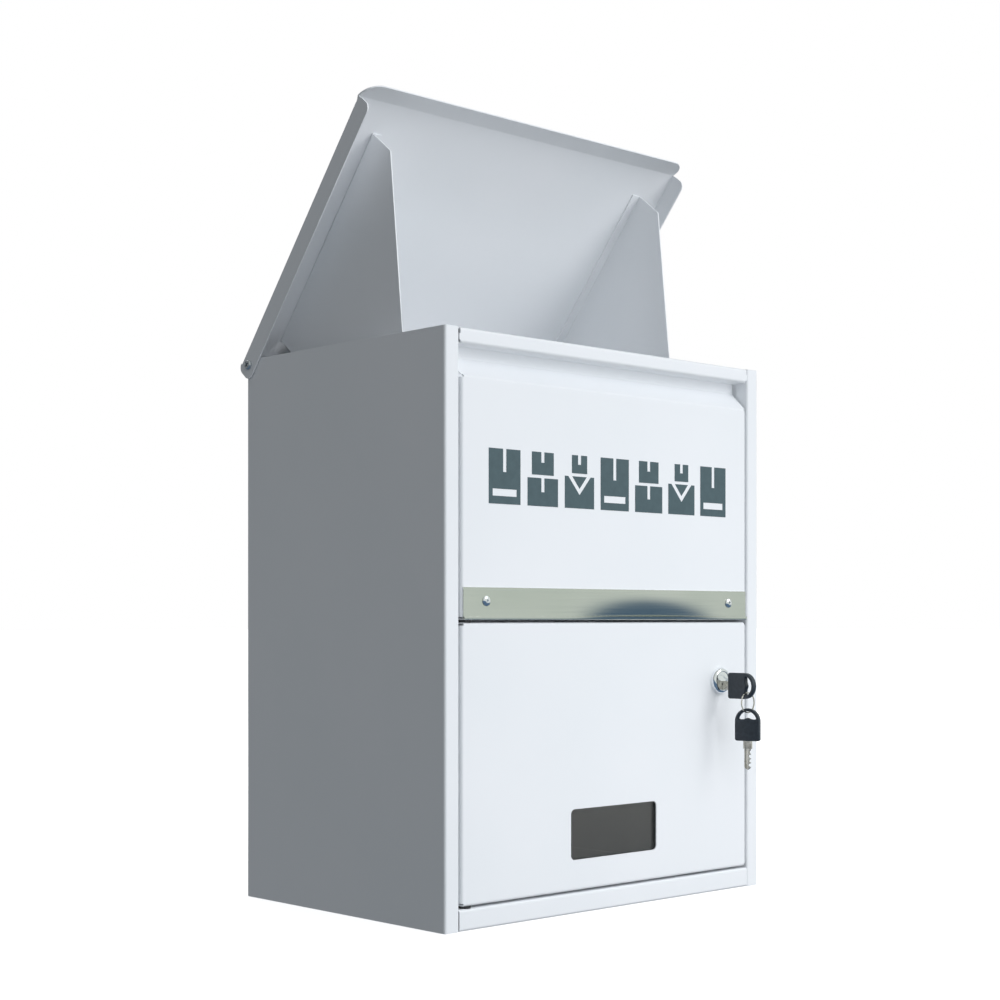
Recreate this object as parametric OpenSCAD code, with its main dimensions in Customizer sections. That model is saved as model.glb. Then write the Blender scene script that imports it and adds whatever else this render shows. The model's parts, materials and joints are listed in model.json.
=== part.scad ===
// Parcel drop box: a lidded steel cabinet with a swinging hopper under the lid,
// a locked collection door below, and its two keys on a ring.
// Millimetres. +Z is up, the front faces -Y, and the origin is the middle of the body's base.

/* [Body] */
// Width of the body across its side panels
body_w = 364; // [340:1:400]
// Depth of the body from front to back
body_d = 252; // [245:1:280]
// Height of the body without its lid
body_h = 450; // [445:1:500]
// Thickness of the body, door and lid sheet
sheet = 1.2; // [1:0.1:1.4]
// Radius of each bend, at the middle of the sheet
bend_r = 1.6; // [1.4:0.1:1.8]

/* [Front] */
// Width of each front stile
stile_w = 14.3; // [12:0.1:18]
// Depth of the edge that is turned in behind each stile
stile_return = 13; // [12:0.5:14]
// Gap between a stile and the panels beside it
panel_gap = 2.1; // [1.8:0.1:2.4]
// Height of the top rail
top_rail_h = 12; // [10:0.5:14]
// Depth of the finger recess under the top rail
recess_d = 15.2; // [14.5:0.1:17]
// Height of the finger recess
recess_h = 24; // [22:0.5:28]
// Height of the bottom rail
foot_rail_h = 16.4; // [15:0.1:18]
// Height of the upper panel's lower edge
upper_bottom = 232; // [225:1:240]
// Height of the stainless drip strip
strip_h = 24.5; // [20:0.5:28]

/* [Lid] */
// How far the lid stands open, in degrees above level
lid_open = 50.8; // [45:0.2:52]
// Width of the lid outside its flanges
lid_w = 368; // [367:0.5:368]
// Distance from the pivots to the lid's front fold
lid_l = 243.6; // [240:0.2:244]
// Height of the lid's outer face above the pivots
lid_top = 9.9; // [9.5:0.1:10.2]
// Depth of the lid's side flanges
lid_flange = 18.4; // [17:0.1:20]
// Width of the front lip
lip_w = 17; // [14:0.5:20]
// How steeply the lip falls from the lid, in degrees
lip_fall = 30; // [26:1:34]

/* [Hopper] */
// Thickness of the hopper sheet
hopper_sheet = 1; // [0.8:0.1:1.2]
// Distance between the wings' outer faces
hopper_w = 314; // [300:1:320]
// Depth of each wing at its back edge
wing_deep = 224.5; // [200:0.5:226]
// Depth of each wing at its front edge
wing_shallow = 30.5; // [25:0.5:40]

/* [Door] */
// Height of the door's lower edge
door_bottom = 18.3; // [17.8:0.1:18.6]
// Height of the door's upper edge
door_top = 230; // [229.5:0.1:230.2]
// Depth of the door's turned-in edges
door_return = 12; // [10:0.5:12]
// Width of the window
window_w = 100; // [80:1:120]
// Height of the window
window_h = 40; // [30:1:44]
// Height of the window's lower edge
window_bottom = 42.5; // [36:0.5:50]

/* [Lock and keys] */
// Distance of the lock from the body's middle
lock_x = 130.5; // [128:0.5:132]
// Height of the lock
lock_z = 180; // [160:1:190]
// Width of a key's head
key_head_w = 22; // [21:0.5:23]
// Length of a key's head
key_head_l = 27.5; // [26:0.5:28]
// Thickness of a key's head
key_head_t = 4.4; // [4:0.1:4.6]
// Outer diameter of the key ring
ring_d = 18; // [17:0.5:19]

/* [Fixings] */
// Spacing of the wall bolts across the back
wall_bolts_x = 240; // [200:5:260]
// Spacing of the wall bolts up the back
wall_bolts_z = 250; // [200:5:260]
// Radius of each wall bolt hole
wall_bolt_r = 4; // [3:0.5:5]

/* [Hidden] */
$fn = 48;

paint = "#eef1f4";
stainless = "#a8ada4";
polished = "#d8dcdf";
key_plastic = "#262c33";
vinyl = "#48605f";
rubber = "#2b2b2b";

half_w = body_w / 2;
front_y = -body_d / 2;
rear_y = body_d / 2;
half_t = sheet / 2;
cut = 0.5;          // how far a cutter stands clear of what it cuts
seam = 0.2;         // gap left where sheet edges meet
bend_steps = 5;     // flats in each bend
bend_out = bend_r + half_t;

stile_in = half_w - stile_w;            // inner face of a stile's turned-in edge
panel_half = stile_in - panel_gap;      // half width of the door and the upper panel
wall_in = half_w - sheet;               // inner face of a side panel
recess_bottom = body_h - top_rail_h - recess_h;
rear_flange = 15;
back_front_y = rear_y - 2 * sheet;      // inner face of the back panel
back_half = wall_in - bend_out;
back_lip = 10;
pivot_notch = 14;
floor_edge = 12;
floor_back_y = back_front_y - seam - half_t;
stile_back_y = front_y + stile_return;

pivot_y = rear_y - 5.4;
pivot_z = body_h - 4.7;
pivot_r = 2;
running_gap = 0.06;                     // radial clearance of a turning pin
lid_half = lid_w / 2;
lid_under = lid_top - sheet;
ear_r = 6;                              // corners of the ears that hold the pivots
ear_back = 4.8;                         // how far their centres lie behind the pivot
lid_back = 7.4;                         // back face of the lid's rear flange, behind the pivot
rear_flange_low = 2.5;                  // lower edge of that flange, above the pivot
flange_corner_r = 6;
lip_corner_r = 15;

wing_x = hopper_w / 2;
wing_front_y = 27 - lid_l;
wing_back_y = 221 - lid_l;
wing_foot = 10;
plate_half = wing_x - hopper_sheet - 0.1;
plate_edge = 12;
hopper_bend = 1.1;
hopper_rivet_y = wing_back_y - 7;
hopper_rivet_z = [-50, -110, -170];
hopper_rivet_r = 1.6;

strip_t = 0.8;
strip_half = 164.5;
hem_h = 2.7;
rivet_x = 141.35;
rivet_z = upper_bottom + 14.3;
rivet_r = 2;
rivet_head_r = 4;

hinge_x = -half_w + 24;
hinge_y = front_y + 5.5;
hinge_r = 2.5;
hinge_head_r = 4;
hinge_head_h = 2;
hinge_reach = 9;                        // how far each hinge pin stands into the door

window_r = 4;
window_lap = 9;
gasket_t = 0.8;
pane_t = 2;
pane_margin = 11;

bezel_r = 11.3;
bezel_h = 4.4;
bezel_rim = 0.8;
barrel_r = 9.5;
barrel_l = 18;
plug_r = 7.6;
plug_recess = 0.5;
plug_gap = 0.05;
lock_washer_t = 0.8;
lock_nut_t = 4;
lock_nut_flats = 24;
boss_w = 7.4;
boss_l = 2.2;
cam_t = 1.8;
cam_w = 14;
cam_l = 43.5;
cam_front = -14.2;                      // front face of the cam's tip, behind the door face
cam_screw_r = 2;
cam_screw_l = 5.6;

key_drop = 4;                           // how far the key sits below the lock's centre
key_reach = 11;                         // from the door face to the key head
head_r = key_head_w / 2;
head_flat_l = key_head_l - head_r;
head_corner_r = 2;
slot_r = head_r - 2.4;
slot_chord = 1.9;
shoulder_w = 7.5;
shoulder_l = 6.5;
shoulder_in = 4;
blade_w = 5.5;
blade_t = 2;
blade_l = 24.3;
blade_cuts = [1.0, 1.9, 1.3, 2.1];
keyway_gap = 0.15;

ring_wire = 1.3;
ring_mid_r = (ring_d - ring_wire) / 2;
ring_in_r = ring_d / 2 - ring_wire;
web_offset = 3.4;                       // where the ring crosses the key head's rim
web_out = sqrt(pow(head_r, 2) - pow(web_offset - ring_wire / 2, 2));
web_in = sqrt(pow(slot_r, 2) - pow(web_offset + ring_wire / 2, 2));
web_mid = (web_out + web_in) / 2;
web_corner = norm([web_out - web_in, key_head_t]) / 2;
ring_hang = ring_in_r - web_corner - 0.15;
ring_p = key_reach + head_flat_l + web_offset;
ring_pivot = -key_drop - web_mid;
ring_centre = ring_pivot - ring_hang;
spare_pivot = ring_centre - ring_mid_r;
spare_gap = 1.2;
spare_turn = 16;

// ---------- bent sheet ----------
// A section is drawn along the middle of the sheet, and each corner is rounded to one radius.
function unit(v) = v / norm(v);
function left_of(v) = [-v.y, v.x];
function turned(v, a) = [v.x * cos(a) - v.y * sin(a), v.x * sin(a) + v.y * cos(a)];
function bend_angle(u, w) = atan2(u.x * w.y - u.y * w.x, u * w);

function bend(p, i, r) =
    let (u = unit(p[i] - p[i - 1]),
         a = bend_angle(u, unit(p[i + 1] - p[i])),
         side = sign(a) * r,
         centre = p[i] - u * r * tan(abs(a) / 2) + left_of(u) * side)
    [for (k = [0:bend_steps])
        let (d = turned(u, a * k / bend_steps))
        [centre - left_of(d) * side, d]];

function mid_line(p, r) =
    let (n = len(p) - 1)
    concat(
        [[p[0], unit(p[1] - p[0])]],
        [for (i = [1:1:n - 1]) each bend(p, i, r)],
        [[p[n], unit(p[n] - p[n - 1])]]);

module bent_sheet(p, t = sheet, r = bend_r) {
    line = mid_line(p, r);
    n = len(line) - 1;
    polygon(concat(
        [for (q = line) q[0] + left_of(q[1]) * t / 2],
        [for (i = [n:-1:0]) line[i][0] - left_of(line[i][1]) * t / 2]));
}

// ---------- placing ----------
// A section in Y and Z, drawn out along X
module along_x(x0, x1) {
    translate([x0, 0, 0]) rotate([90, 0, 90]) linear_extrude(x1 - x0) children();
}

// A section in X and Z, drawn out along Y
module along_y(y0, y1) {
    translate([0, y1, 0]) rotate([90, 0, 0]) linear_extrude(y1 - y0) children();
}

module both_sides() {
    children();
    mirror([1, 0, 0]) children();
}

// The lid's own frame: pivots at the origin, lid level, front towards -Y
module at_lid() {
    translate([0, pivot_y, pivot_z]) rotate([-lid_open, 0, 0]) children();
}

// The lock's own frame: Z comes out of the door, Y is up
module at_lock() {
    translate([lock_x, front_y, lock_z]) rotate([90, 0, 0]) children();
}

module disc(r, h, bore = 0) {
    difference() {
        cylinder(r = r, h = h);
        if (bore > 0) translate([0, 0, -cut]) cylinder(r = bore, h = h + 2 * cut);
    }
}

module box_between(low, high) {
    translate(low) cube(high - low);
}

// A square with round corners, made of true circles
module round_rect(w, h, r) {
    translate([-w / 2 + r, -h / 2]) square([w - 2 * r, h]);
    translate([-w / 2, -h / 2 + r]) square([w, h - 2 * r]);
    for (x = [-1, 1], y = [-1, 1]) translate([x * (w / 2 - r), y * (h / 2 - r)]) circle(r = r);
}

// ---------- body ----------
module side_panel() {
    stile_mid = -stile_in - half_t;
    difference() {
        linear_extrude(body_h) bent_sheet([
            [stile_mid, stile_back_y],
            [stile_mid, front_y + half_t],
            [-half_w + half_t, front_y + half_t],
            [-half_w + half_t, rear_y - half_t],
            [-half_w + rear_flange, rear_y - half_t]]);
        translate([-half_w - cut, pivot_y, pivot_z]) rotate([0, 90, 0])
            cylinder(r = pivot_r, h = sheet + 2 * cut);
    }
}

module left_side_panel() {
    color(paint) side_panel();
}

module right_side_panel() {
    color(paint) mirror([1, 0, 0]) side_panel();
}

module back_panel() {
    mid_y = back_front_y + half_t;
    notch_x = back_half - pivot_notch;
    color(paint) difference() {
        union() {
            along_x(-back_half, back_half) translate([back_front_y, 0]) square([sheet, body_h - pivot_notch]);
            along_x(-notch_x, notch_x) bent_sheet([
                [mid_y, body_h - 2 * pivot_notch],
                [mid_y, body_h - half_t],
                [mid_y - back_lip, body_h - half_t]]);
        }
        for (x = [-1, 1], z = [-1, 1])
            translate([x * wall_bolts_x / 2, back_front_y - cut, body_h / 2 + z * wall_bolts_z / 2])
                rotate([-90, 0, 0]) cylinder(r = wall_bolt_r, h = sheet + 2 * cut);
    }
}

module floor_panel() {
    rail_half = stile_in - seam;
    edge_mid = wall_in - half_t;
    color(paint) difference() {
        union() {
            along_x(-rail_half, rail_half) bent_sheet([
                [stile_back_y, foot_rail_h - half_t],
                [front_y + half_t, foot_rail_h - half_t],
                [front_y + half_t, half_t],
                [floor_back_y, half_t],
                [floor_back_y, floor_edge]]);
            along_y(stile_back_y + seam, floor_back_y - bend_out) bent_sheet([
                [-edge_mid, floor_edge],
                [-edge_mid, half_t],
                [edge_mid, half_t],
                [edge_mid, floor_edge]]);
        }
        translate([hinge_x, hinge_y, foot_rail_h - 2 * sheet])
            cylinder(r = hinge_r, h = 4 * sheet);
    }
}

module top_rail() {
    low = body_h - top_rail_h;
    corner = 3;
    slit_w = 1;
    slit_h = 5;
    half = stile_in - 0.1;
    color(paint) difference() {
        along_x(-half, half) bent_sheet([
            [front_y + recess_d, body_h - half_t],
            [front_y + half_t, body_h - half_t],
            [front_y + half_t, low + half_t],
            [front_y + recess_d, low + half_t]]);
        both_sides() {
            box_between([half - slit_w, front_y - cut, body_h - slit_h],
                [half + cut, front_y + bend_out, body_h + cut]);
            along_y(front_y - cut, front_y + bend_out) polygon([
                [half - corner, low - cut],
                [half + cut, low - cut],
                [half + cut, low + corner],
                [half, low + corner],
                [half - corner, low]]);
        }
    }
}

module upper_front_panel() {
    face = front_y + half_t;
    web = front_y + recess_d + half_t;
    slope_low = recess_bottom - half_t * (sqrt(2) - 1);
    tab_y = stile_back_y + 0.2 + half_t;
    end_x = panel_half - half_t;
    color(paint) difference() {
        union() {
            along_x(-panel_half + bend_out, panel_half - bend_out) bent_sheet([
                [front_y + door_return, upper_bottom + half_t],
                [face, upper_bottom + half_t],
                [face, slope_low],
                [web, slope_low + web - face],
                [web, body_h]]);
            translate([0, 0, upper_bottom + bend_out])
                linear_extrude(recess_bottom - upper_bottom - bend_out - 1) both_sides() bent_sheet([
                    [half_w / 2, face],
                    [end_x, face],
                    [end_x, tab_y],
                    [wall_in, tab_y]]);
            both_sides() along_x(panel_half - bend_out - cut, panel_half) {
                translate([front_y + recess_d, recess_bottom + recess_d])
                    square([sheet, body_h - recess_bottom - recess_d]);
                polygon([
                    [front_y + 1, recess_bottom + 1],
                    [front_y + 1 + sheet, recess_bottom + 1],
                    [front_y + recess_d + sheet, recess_bottom + recess_d],
                    [front_y + recess_d, recess_bottom + recess_d]]);
            }
        }
        for (x = [-1, 1]) translate([x * rivet_x, front_y - cut, rivet_z]) rotate([-90, 0, 0])
            cylinder(r = rivet_r, h = sheet + 2 * cut);
        translate([hinge_x, hinge_y, upper_bottom - cut]) cylinder(r = hinge_r, h = sheet + 2 * cut);
    }
}

module drip_strip() {
    mid = front_y - strip_t / 2;
    hem_mid = mid - 1.6;
    color(stainless) difference() {
        along_x(-strip_half, strip_half) bent_sheet([
            [mid, upper_bottom + strip_h],
            [mid, upper_bottom + strip_t / 2],
            [hem_mid, upper_bottom + strip_t / 2],
            [hem_mid, upper_bottom + hem_h]], strip_t, 0.6);
        for (x = [-1, 1]) translate([x * rivet_x, front_y - strip_t - cut, rivet_z]) rotate([-90, 0, 0])
            cylinder(r = rivet_r, h = strip_t + 2 * cut);
    }
}

// A blind rivet: domed head with its drawn-out mandrel hole, shank and swollen blind end
module blind_rivet(r, head_r, grip) {
    dome = head_r * 0.38;
    difference() {
        union() {
            rotate_extrude() polygon(concat(
                [[0, 0], [head_r, 0]],
                [for (a = [15:15:75]) [head_r * cos(a), dome * sin(a)]],
                [[0, dome]]));
            translate([0, 0, -grip]) cylinder(r = r, h = grip);
            translate([0, 0, -grip - r * 1.5]) cylinder(r = r * 1.35, h = r * 1.5);
        }
        translate([0, 0, -r]) cylinder(r = r * 0.45, h = 3 * r);
    }
}

module strip_rivets() {
    color(polished) for (x = [-1, 1])
        translate([x * rivet_x, front_y - strip_t, rivet_z]) rotate([90, 0, 0])
            blind_rivet(rivet_r, rivet_head_r, strip_t + sheet);
}

// ---------- parcel pictograms ----------
picto_n = 7;
picto_h = 42;
picto_w = 33;
picto_pitch = 40.6;
picto_z = 320;
tape = 3.4;

// A tall carton with a tape band down from its top and a label cut out
module tall_carton() {
    difference() {
        translate([-picto_w / 2, 0]) square([picto_w, picto_h]);
        translate([-tape / 2, picto_h * 0.58]) square([tape, picto_h]);
        translate([-picto_w / 2 + 4, 6]) square([picto_w - 8, tape * 1.6]);
    }
}

// Two cartons, one on the other
module stacked_cartons() {
    lower = picto_h * 0.52;
    difference() {
        union() {
            translate([-picto_w / 2, 0]) square([picto_w, lower]);
            translate([-picto_w * 0.36, lower + 2.4]) square([picto_w * 0.72, picto_h - lower - 2.4]);
        }
        for (z = [lower * 0.5, lower + 12]) translate([-tape / 2, z]) square([tape, 12]);
    }
}

// A padded envelope under a small carton
module padded_envelope() {
    lower = picto_h * 0.6;
    difference() {
        translate([-picto_w / 2, 0]) square([picto_w, lower]);
        polygon([
            [-picto_w / 2 + 3, lower + 1],
            [0, lower * 0.42],
            [picto_w / 2 - 3, lower + 1],
            [picto_w / 2 - 7.5, lower + 1],
            [0, lower * 0.62],
            [-picto_w / 2 + 7.5, lower + 1]]);
    }
    translate([-picto_w * 0.26, lower + 2.4]) difference() {
        square([picto_w * 0.52, picto_h - lower - 2.4]);
        translate([picto_w * 0.26 - tape / 2, 7]) square([tape, 12]);
    }
}

module pictogram_decal() {
    color(vinyl) along_y(front_y - 0.2, front_y)
        for (i = [0:picto_n - 1]) translate([(i - (picto_n - 1) / 2) * picto_pitch, picto_z]) {
            if (i % 3 == 0) tall_carton();
            if (i % 3 == 1) stacked_cartons();
            if (i % 3 == 2) padded_envelope();
        }
}

// ---------- lid ----------
module lid_flange_outline() {
    low = lid_top - lid_flange;
    translate([-lid_l + flange_corner_r, low]) square([lid_l - flange_corner_r + ear_back, lid_flange]);
    translate([-lid_l, low + flange_corner_r]) square([flange_corner_r + 1, lid_flange - flange_corner_r]);
    translate([-lid_l + flange_corner_r, low + flange_corner_r]) circle(r = flange_corner_r);
    translate([0, low + ear_r]) square([ear_back + ear_r, lid_flange - 2 * ear_r]);
    for (z = [low + ear_r, lid_top - ear_r]) translate([ear_back, z]) circle(r = ear_r);
}

module lip_trim() {
    reach = lip_w - lip_corner_r;
    translate([0, -lid_l, lid_top]) rotate([lip_fall, 0, 0]) translate([0, 0, -4]) linear_extrude(8) {
        translate([-lid_half + lip_corner_r, -lip_w]) square([lid_w - 2 * lip_corner_r, lip_w + 2]);
        translate([-lid_half, -reach]) square([lid_w, reach + 0.8]);
        for (x = [-1, 1]) translate([x * (lid_half - lip_corner_r), -reach]) circle(r = lip_corner_r);
    }
}

module lid_sheet() {
    mid = lid_top - half_t;
    fold_y = -lid_l + half_t * tan(lip_fall / 2);
    intersection() {
        along_x(-lid_half, lid_half) bent_sheet([
            [fold_y - (lip_w + 2) * cos(lip_fall), mid - (lip_w + 2) * sin(lip_fall)],
            [fold_y, mid],
            [lid_back - half_t, mid],
            [lid_back - half_t, rear_flange_low]]);
        union() {
            box_between([-lid_half + bend_out, -lid_l, 0],
                [lid_half - bend_out, lid_back + cut, lid_top + cut]);
            lip_trim();
        }
    }
}

module lid_panel() {
    turn_down = 4;          // where the flange plates take over from the bent edge
    color(paint) at_lid() difference() {
        union() {
            lid_sheet();
            along_y(-lid_l + 0.4, lid_back - bend_out) bent_sheet([
                [-lid_half + half_t, turn_down],
                [-lid_half + half_t, lid_top - half_t],
                [lid_half - half_t, lid_top - half_t],
                [lid_half - half_t, turn_down]]);
            both_sides() along_x(lid_half - sheet, lid_half) difference() {
                lid_flange_outline();
                translate([-lid_l - cut, turn_down + 1])
                    square([lid_l + cut + lid_back - bend_out, lid_flange]);
            }
        }
        translate([-lid_half - cut, 0, 0]) rotate([0, 90, 0])
            cylinder(r = pivot_r + running_gap, h = lid_w + 2 * cut);
    }
}

module wing() {
    foot_mid = lid_under - hopper_sheet / 2;
    plate_mid = -wing_x + hopper_sheet / 2;
    along_y(wing_front_y, wing_back_y) bent_sheet([
        [-wing_x + wing_foot, foot_mid],
        [plate_mid, foot_mid],
        [plate_mid, 3]], hopper_sheet, hopper_bend);
    difference() {
        along_x(-wing_x, -wing_x + hopper_sheet) polygon([
            [wing_front_y, 5],
            [wing_front_y, lid_top - wing_shallow],
            [wing_back_y, lid_top - wing_deep],
            [wing_back_y, 5]]);
        for (z = hopper_rivet_z) translate([-wing_x - cut, hopper_rivet_y, z]) rotate([0, 90, 0])
            cylinder(r = hopper_rivet_r, h = hopper_sheet + 2 * cut);
    }
}

module hopper_left_wing() {
    color(paint) at_lid() wing();
}

module hopper_right_wing() {
    color(paint) at_lid() mirror([1, 0, 0]) wing();
}

module hopper_plate() {
    mid_y = wing_back_y - hopper_sheet / 2;
    edge_y = wing_back_y - plate_edge;
    top_mid = lid_under - hopper_sheet / 2;
    foot_z = lid_top - wing_deep;
    end_mid = plate_half - hopper_sheet / 2;
    color(paint) at_lid() difference() {
        union() {
            along_x(-plate_half + 12, plate_half - 12) bent_sheet([
                [edge_y, top_mid],
                [mid_y, top_mid],
                [mid_y, foot_z + hopper_sheet / 2],
                [edge_y + 4, foot_z + hopper_sheet / 2]], hopper_sheet, hopper_bend);
            translate([0, 0, foot_z + 3]) linear_extrude(lid_under - foot_z - 8) bent_sheet([
                [-end_mid, edge_y],
                [-end_mid, mid_y],
                [end_mid, mid_y],
                [end_mid, edge_y]], hopper_sheet, hopper_bend);
        }
        for (z = hopper_rivet_z) translate([-plate_half - cut, hopper_rivet_y, z]) rotate([0, 90, 0])
            cylinder(r = hopper_rivet_r, h = 2 * plate_half + 2 * cut);
    }
}

module hopper_rivets() {
    color(polished) at_lid() both_sides() for (z = hopper_rivet_z)
        translate([-wing_x, hopper_rivet_y, z]) rotate([0, -90, 0])
            blind_rivet(hopper_rivet_r, 3.2, 2 * hopper_sheet + 0.1);
}

// ---------- lid pivots ----------
module pivot_screw() {
    head_h = 2.4;
    shank_l = lid_half - wall_in + 4.2;
    rotate([0, -90, 0]) difference() {
        union() {
            rotate_extrude() polygon([[0, 0], [4, 0], [4, 1.2], [3.6, 1.9], [2.8, head_h], [0, head_h]]);
            translate([0, 0, -shank_l]) cylinder(r = pivot_r, h = shank_l);
        }
        translate([0, 0, 0.8]) linear_extrude(2) rotate(30) {
            square([5, 1.3], center = true);
            square([1.3, 5], center = true);
        }
    }
}

module lid_pivot_screws() {
    color(polished) both_sides() translate([-lid_half, pivot_y, pivot_z]) pivot_screw();
}

module lid_pivot_washers() {
    color(rubber) both_sides() translate([-half_w, pivot_y, pivot_z]) rotate([0, -90, 0])
        disc(4.5, lid_half - sheet - half_w, pivot_r + 0.1);
}

module lid_pivot_nuts() {
    flats = 6;
    color(polished) both_sides() translate([-wall_in, pivot_y, pivot_z]) rotate([0, 90, 0]) difference() {
        cylinder(r = flats / sqrt(3), h = 3.2, $fn = 6);
        translate([0, 0, -cut]) cylinder(r = pivot_r, h = 4.2);
    }
}

// ---------- door ----------
window_mid_z = window_bottom + window_h / 2;

module door_panel() {
    face = front_y + half_t;
    inner_y = front_y + door_return;
    side_mid = panel_half - half_t;
    color(paint) difference() {
        union() {
            translate([0, 0, door_bottom + bend_out]) linear_extrude(door_top - door_bottom - 2 * bend_out)
                bent_sheet([
                    [-side_mid, inner_y],
                    [-side_mid, face],
                    [side_mid, face],
                    [side_mid, inner_y]]);
            along_x(-panel_half + bend_out, panel_half - bend_out) bent_sheet([
                [inner_y, door_bottom + half_t],
                [face, door_bottom + half_t],
                [face, door_top - half_t],
                [inner_y, door_top - half_t]]);
        }
        along_y(front_y - cut, front_y + sheet + cut) translate([0, window_mid_z])
            round_rect(window_w, window_h, window_r);
        at_lock() translate([0, 0, -sheet - cut]) cylinder(r = barrel_r, h = sheet + 2 * cut);
        for (z = [door_bottom, door_top - sheet]) translate([hinge_x, hinge_y, z - cut])
            cylinder(r = hinge_r + running_gap, h = sheet + 2 * cut);
    }
}

module window_gasket() {
    color(rubber) along_y(front_y + sheet, front_y + sheet + gasket_t)
        translate([0, window_mid_z]) difference() {
            round_rect(window_w + 2 * window_lap, window_h + 2 * window_lap, window_r + 2);
            round_rect(window_w + 2, window_h + 2, window_r + 1);
        }
}

module window_pane() {
    inner = front_y + sheet + gasket_t;
    color("#dfe8ee", 0.35) along_y(inner, inner + pane_t) translate([0, window_mid_z])
        round_rect(window_w + 2 * pane_margin, window_h + 2 * pane_margin, window_r);
}

// Each pin is pressed in the fixed sheet and its head bears on the far side of it
module hinge_pin(reach) {
    cylinder(r = hinge_r, h = reach);
    translate([0, 0, -hinge_head_h]) cylinder(r = hinge_head_r, h = hinge_head_h);
}

module door_hinge_pins() {
    color(polished) {
        translate([hinge_x, hinge_y, foot_rail_h - sheet])
            hinge_pin(door_bottom - foot_rail_h + sheet + hinge_reach);
        translate([hinge_x, hinge_y, upper_bottom + sheet]) mirror([0, 0, 1])
            hinge_pin(upper_bottom - door_top + sheet + hinge_reach);
    }
}

module door_hinge_washers() {
    color(rubber) {
        translate([hinge_x, hinge_y, foot_rail_h]) disc(5, door_bottom - foot_rail_h - 0.1, hinge_r + 0.1);
        translate([hinge_x, hinge_y, door_top + 0.1]) disc(5, upper_bottom - door_top - 0.1, hinge_r + 0.1);
    }
}

// ---------- lock ----------
module lock_body() {
    dome_r = bezel_r - plug_r - 1;
    color(polished) at_lock() rotate_extrude() polygon(concat(
        [[plug_r + plug_gap, -barrel_l], [barrel_r, -barrel_l], [barrel_r, 0], [bezel_r, 0]],
        [for (a = [0:15:90])
            [bezel_r - dome_r + dome_r * cos(a), bezel_rim + (bezel_h - bezel_rim) * sin(a)]],
        [[plug_r + plug_gap, bezel_h]]));
}

module lock_washer() {
    color(stainless) at_lock() translate([0, 0, -sheet - lock_washer_t])
        disc(12.5, lock_washer_t, barrel_r);
}

module lock_nut() {
    color(polished) at_lock() translate([0, 0, -sheet - lock_washer_t - lock_nut_t]) difference() {
        cylinder(r = lock_nut_flats / sqrt(3), h = lock_nut_t, $fn = 6);
        translate([0, 0, -cut]) cylinder(r = barrel_r, h = lock_nut_t + 2 * cut);
    }
}

module lock_plug() {
    keyway_w = blade_t + 2 * keyway_gap;
    keyway_h = blade_w + 2 * keyway_gap;
    keyway_end = key_reach - blade_l - 0.4;
    color(polished) at_lock() difference() {
        union() {
            translate([0, 0, -barrel_l]) cylinder(r = plug_r, h = barrel_l + bezel_h - plug_recess);
            translate([-boss_w / 2, -boss_w / 2, -barrel_l - boss_l]) cube([boss_w, boss_w, boss_l + 1]);
        }
        translate([-keyway_w / 2, -key_drop - keyway_h / 2, keyway_end])
            cube([keyway_w, keyway_h, bezel_h - keyway_end + 1]);
        translate([0, 0, -barrel_l - boss_l - cut]) cylinder(r = cam_screw_r, h = cam_screw_l + cut);
    }
}

// The cam is cranked forward, so that its tip closes on the stile's turned-in edge
module lock_cam() {
    hub_mid = -barrel_l - 0.2 - cam_t / 2;
    tip_mid = cam_front - cam_t / 2;
    hole = boss_w + 0.1;
    color(stainless) at_lock() difference() {
        intersection() {
            along_x(-cam_w, cam_w) bent_sheet([
                [12, hub_mid],
                [-13, hub_mid],
                [-19, tip_mid],
                [-cam_l - 1, tip_mid]], cam_t, 1.8);
            translate([0, 0, -barrel_l - 5]) linear_extrude(12) {
                circle(r = 9);
                translate([-cam_w / 2, -cam_l + cam_w / 2]) square([cam_w, cam_l - cam_w / 2]);
                translate([0, -cam_l + cam_w / 2]) circle(r = cam_w / 2);
            }
        }
        translate([-hole / 2, -hole / 2, -barrel_l - 4]) cube([hole, hole, 6]);
    }
}

module cam_screw() {
    head_h = 2.6;
    color(polished) at_lock() translate([0, 0, -barrel_l - boss_l]) difference() {
        union() {
            translate([0, 0, -head_h]) cylinder(r = 4.2, h = head_h);
            translate([0, 0, -0.9]) cylinder(r = 5.4, h = 0.9);
            cylinder(r = cam_screw_r, h = cam_screw_l - 0.4);
        }
        translate([0, 0, -head_h - cut]) linear_extrude(1.4 + cut) {
            square([5, 1], center = true);
            square([1, 5], center = true);
        }
    }
}

// ---------- keys ----------
// A key stands on its blade: the head's flat end is at Z = 0 and its rounded end is up
module head_outline() {
    translate([-head_r, head_corner_r]) square([key_head_w, head_flat_l - head_corner_r]);
    translate([-head_r + head_corner_r, 0]) square([key_head_w - 2 * head_corner_r, head_corner_r + 1]);
    for (x = [-1, 1]) translate([x * (head_r - head_corner_r), head_corner_r]) circle(r = head_corner_r);
    translate([0, head_flat_l]) circle(r = head_r);
}

module ring_slot() {
    intersection() {
        translate([0, head_flat_l]) circle(r = slot_r);
        translate([-head_r, head_flat_l + slot_chord]) square([key_head_w, head_r]);
    }
}

module shoulder_solid() {
    box_between([-blade_t / 2, -shoulder_w / 2, -shoulder_l], [blade_t / 2, shoulder_w / 2, shoulder_in]);
}

module key_head_solid() {
    difference() {
        along_x(-key_head_t / 2, key_head_t / 2) difference() {
            head_outline();
            ring_slot();
        }
        shoulder_solid();
    }
}

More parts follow.
